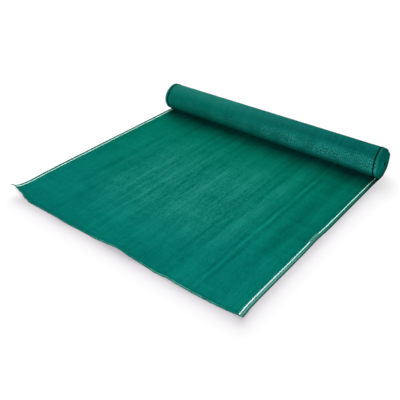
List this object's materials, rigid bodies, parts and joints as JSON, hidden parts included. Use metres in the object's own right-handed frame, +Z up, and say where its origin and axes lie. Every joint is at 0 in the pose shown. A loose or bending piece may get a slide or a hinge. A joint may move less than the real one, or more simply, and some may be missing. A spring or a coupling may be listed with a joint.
{
  "type": "privacy screen roll",
  "caption": "Partly unrolled roll of green knitted privacy screen cloth, with a white thread along each edge; it lies on a floor.",
  "frame": {"origin": "centre of the footprint, on the floor that the cloth lies on", "axes": "+X across the cloth, along the roll's axis; +Y along the laid cloth, from its cut end to the roll; +Z up"},
  "size_m": [1.0064, 0.9704, 0.1124],
  "materials": {
    "green_cloth": "knitted polyethylene tape and yarn, dull with a faint sheen",
    "white_thread": "white polyethylene thread, satin"
  },
  "bodies": {
    "root": {"screen_cloth": "green_cloth", "selvedge_thread_left": "white_thread", "selvedge_thread_right": "white_thread"}
  },
  "joints": []
}
